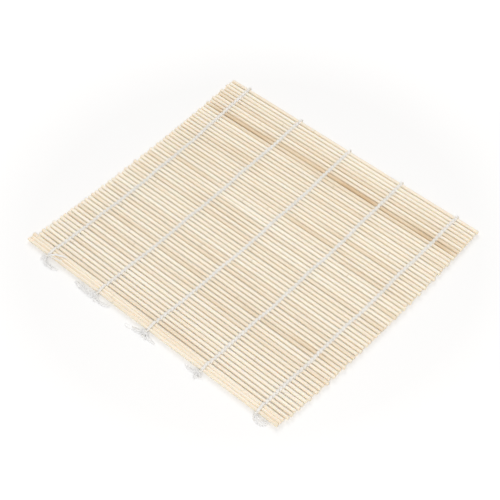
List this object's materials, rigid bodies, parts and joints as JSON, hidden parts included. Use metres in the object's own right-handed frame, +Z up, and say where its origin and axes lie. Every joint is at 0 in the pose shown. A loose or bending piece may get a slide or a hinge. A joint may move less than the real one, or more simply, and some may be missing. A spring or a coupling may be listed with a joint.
{
  "type": "sushi rolling mat",
  "caption": "Rolling mat of round bamboo sticks held side by side by rows of twined cotton cord, knotted along one edge; it lies flat and rolls up lengthwise.",
  "frame": {"origin": "centre of the bounding box of the flat mat, on the surface that it lies on", "axes": "+X along the sticks, +Y from the knotted edge to the looped edge, +Z up"},
  "size_m": [0.239, 0.223, 0.0042],
  "materials": {
    "bamboo": "smooth untreated bamboo, satin",
    "cord": "matte twisted cotton"
  },
  "bodies": {
    "section_01": {"sticks_01": "bamboo", "cords_01": "cord", "end_knots": "cord", "cord_tails": "cord"},
    "section_02": {"sticks_02": "bamboo", "cords_02": "cord"},
    "section_03": {"sticks_03": "bamboo", "cords_03": "cord"},
    "section_04": {"sticks_04": "bamboo", "cords_04": "cord"},
    "section_05": {"sticks_05": "bamboo", "cords_05": "cord"},
    "section_06": {"sticks_06": "bamboo", "cords_06": "cord"},
    "section_07": {"sticks_07": "bamboo", "cords_07": "cord"},
    "section_08": {"sticks_08": "bamboo", "cords_08": "cord"},
    "section_09": {"sticks_09": "bamboo", "cords_09": "cord"},
    "section_10": {"sticks_10": "bamboo", "cords_10": "cord"},
    "section_11": {"sticks_11": "bamboo", "cords_11": "cord"},
    "section_12": {"sticks_12": "bamboo", "cords_12": "cord"},
    "section_13": {"sticks_13": "bamboo", "cords_13": "cord"},
    "section_14": {"sticks_14": "bamboo", "cords_14": "cord"},
    "section_15": {"sticks_15": "bamboo", "cords_15": "cord"},
    "section_16": {"sticks_16": "bamboo", "cords_16": "cord"},
    "section_17": {"sticks_17": "bamboo", "cords_17": "cord"},
    "section_18": {"sticks_18": "bamboo", "cords_18": "cord"},
    "section_19": {"sticks_19": "bamboo", "cords_19": "cord"},
    "section_20": {"sticks_20": "bamboo", "cords_20": "cord"},
    "section_21": {"sticks_21": "bamboo", "cords_21": "cord"},
    "section_22": {"sticks_22": "bamboo", "cords_22": "cord"},
    "section_23": {"sticks_23": "bamboo", "cords_23": "cord"},
    "section_24": {"sticks_24": "bamboo", "cords_24": "cord"},
    "section_25": {"sticks_25": "bamboo", "cords_25": "cord"},
    "section_26": {"sticks_26": "bamboo", "cords_26": "cord"},
    "section_27": {"sticks_27": "bamboo", "cords_27": "cord"},
    "section_28": {"sticks_28": "bamboo", "cords_28": "cord", "start_loops": "cord"}
  },
  "joints": [
    {"name": "bend_01", "type": "hinge", "parent": "section_02", "child": "section_01", "pos_m": [0, -0.09763, 0.00203], "axis": [-1, 0, 0], "range_deg": [0, 24.16]},
    {"name": "bend_02", "type": "hinge", "parent": "section_03", "child": "section_02", "pos_m": [0, -0.08758, 0.00203], "axis": [-1, 0, 0], "range_deg": [0, 24.52]},
    {"name": "bend_03", "type": "hinge", "parent": "section_04", "child": "section_03", "pos_m": [0, -0.07753, 0.00203], "axis": [-1, 0, 0], "range_deg": [0, 24.9]},
    {"name": "bend_04", "type": "hinge", "parent": "section_05", "child": "section_04", "pos_m": [0, -0.06748, 0.00203], "axis": [-1, 0, 0], "range_deg": [0, 25.3]},
    {"name": "bend_05", "type": "hinge", "parent": "section_06", "child": "section_05", "pos_m": [0, -0.05743, 0.00203], "axis": [-1, 0, 0], "range_deg": [0, 25.71]},
    {"name": "bend_06", "type": "hinge", "parent": "section_07", "child": "section_06", "pos_m": [0, -0.04738, 0.00203], "axis": [-1, 0, 0], "range_deg": [0, 26.15]},
    {"name": "bend_07", "type": "hinge", "parent": "section_08", "child": "section_07", "pos_m": [0, -0.03733, 0.00203], "axis": [-1, 0, 0], "range_deg": [0, 26.61]},
    {"name": "bend_08", "type": "hinge", "parent": "section_09", "child": "section_08", "pos_m": [0, -0.02728, 0.00203], "axis": [-1, 0, 0], "range_deg": [0, 27.09]},
    {"name": "bend_09", "type": "hinge", "parent": "section_10", "child": "section_09", "pos_m": [0, -0.01723, 0.00203], "axis": [-1, 0, 0], "range_deg": [0, 23.01]},
    {"name": "bend_10", "type": "hinge", "parent": "section_11", "child": "section_10", "pos_m": [0, -0.01053, 0.00203], "axis": [-1, 0, 0], "range_deg": [0, 18.64]},
    {"name": "bend_11", "type": "hinge", "parent": "section_12", "child": "section_11", "pos_m": [0, -0.00383, 0.00203], "axis": [-1, 0, 0], "range_deg": [0, 18.89]},
    {"name": "bend_12", "type": "hinge", "parent": "section_13", "child": "section_12", "pos_m": [0, 0.00287, 0.00203], "axis": [-1, 0, 0], "range_deg": [0, 19.15]},
    {"name": "bend_13", "type": "hinge", "parent": "section_14", "child": "section_13", "pos_m": [0, 0.00957, 0.00203], "axis": [-1, 0, 0], "range_deg": [0, 19.41]},
    {"name": "bend_14", "type": "hinge", "parent": "section_14", "child": "section_15", "pos_m": [0, 0.01627, 0.00203], "axis": [1, 0, 0], "range_deg": [0, 19.7]},
    {"name": "bend_15", "type": "hinge", "parent": "section_15", "child": "section_16", "pos_m": [0, 0.02297, 0.00203], "axis": [1, 0, 0], "range_deg": [0, 19.99]},
    {"name": "bend_16", "type": "hinge", "parent": "section_16", "child": "section_17", "pos_m": [0, 0.02967, 0.00203], "axis": [1, 0, 0], "range_deg": [0, 20.3]},
    {"name": "bend_17", "type": "hinge", "parent": "section_17", "child": "section_18", "pos_m": [0, 0.03637, 0.00203], "axis": [1, 0, 0], "range_deg": [0, 20.62]},
    {"name": "bend_18", "type": "hinge", "parent": "section_18", "child": "section_19", "pos_m": [0, 0.04307, 0.00203], "axis": [1, 0, 0], "range_deg": [0, 20.96]},
    {"name": "bend_19", "type": "hinge", "parent": "section_19", "child": "section_20", "pos_m": [0, 0.04977, 0.00203], "axis": [1, 0, 0], "range_deg": [0, 21.32]},
    {"name": "bend_20", "type": "hinge", "parent": "section_20", "child": "section_21", "pos_m": [0, 0.05647, 0.00203], "axis": [1, 0, 0], "range_deg": [0, 21.69]},
    {"name": "bend_21", "type": "hinge", "parent": "section_21", "child": "section_22", "pos_m": [0, 0.06317, 0.00203], "axis": [1, 0, 0], "range_deg": [0, 22.08]},
    {"name": "bend_22", "type": "hinge", "parent": "section_22", "child": "section_23", "pos_m": [0, 0.06987, 0.00203], "axis": [1, 0, 0], "range_deg": [0, 22.5]},
    {"name": "bend_23", "type": "hinge", "parent": "section_23", "child": "section_24", "pos_m": [0, 0.07657, 0.00203], "axis": [1, 0, 0], "range_deg": [0, 22.94]},
    {"name": "bend_24", "type": "hinge", "parent": "section_24", "child": "section_25", "pos_m": [0, 0.08327, 0.00203], "axis": [1, 0, 0], "range_deg": [0, 23.41]},
    {"name": "bend_25", "type": "hinge", "parent": "section_25", "child": "section_26", "pos_m": [0, 0.08997, 0.00203], "axis": [1, 0, 0], "range_deg": [0, 23.9]},
    {"name": "bend_26", "type": "hinge", "parent": "section_26", "child": "section_27", "pos_m": [0, 0.09667, 0.00203], "axis": [1, 0, 0], "range_deg": [0, 24.43]},
    {"name": "bend_27", "type": "hinge", "parent": "section_27", "child": "section_28", "pos_m": [0, 0.10337, 0.00203], "axis": [1, 0, 0], "range_deg": [0, 25]}
  ],
  "couplings": [
    {"joint": "bend_01", "follows": "bend_13", "ratio": 1.2442},
    {"joint": "bend_02", "follows": "bend_13", "ratio": 1.2628},
    {"joint": "bend_03", "follows": "bend_13", "ratio": 1.2823},
    {"joint": "bend_04", "follows": "bend_13", "ratio": 1.3027},
    {"joint": "bend_05", "follows": "bend_13", "ratio": 1.3241},
    {"joint": "bend_06", "follows": "bend_13", "ratio": 1.3466},
    {"joint": "bend_07", "follows": "bend_13", "ratio": 1.3702},
    {"joint": "bend_08", "follows": "bend_13", "ratio": 1.3952},
    {"joint": "bend_09", "follows": "bend_13", "ratio": 1.1847},
    {"joint": "bend_10", "follows": "bend_13", "ratio": 0.96},
    {"joint": "bend_11", "follows": "bend_13", "ratio": 0.9728},
    {"joint": "bend_12", "follows": "bend_13", "ratio": 0.9861},
    {"joint": "bend_14", "follows": "bend_13", "ratio": 1.0145},
    {"joint": "bend_15", "follows": "bend_13", "ratio": 1.0296},
    {"joint": "bend_16", "follows": "bend_13", "ratio": 1.0454},
    {"joint": "bend_17", "follows": "bend_13", "ratio": 1.062},
    {"joint": "bend_18", "follows": "bend_13", "ratio": 1.0794},
    {"joint": "bend_19", "follows": "bend_13", "ratio": 1.0977},
    {"joint": "bend_20", "follows": "bend_13", "ratio": 1.1169},
    {"joint": "bend_21", "follows": "bend_13", "ratio": 1.1372},
    {"joint": "bend_22", "follows": "bend_13", "ratio": 1.1586},
    {"joint": "bend_23", "follows": "bend_13", "ratio": 1.1813},
    {"joint": "bend_24", "follows": "bend_13", "ratio": 1.2054},
    {"joint": "bend_25", "follows": "bend_13", "ratio": 1.231},
    {"joint": "bend_26", "follows": "bend_13", "ratio": 1.2583},
    {"joint": "bend_27", "follows": "bend_13", "ratio": 1.2875}
  ]
}
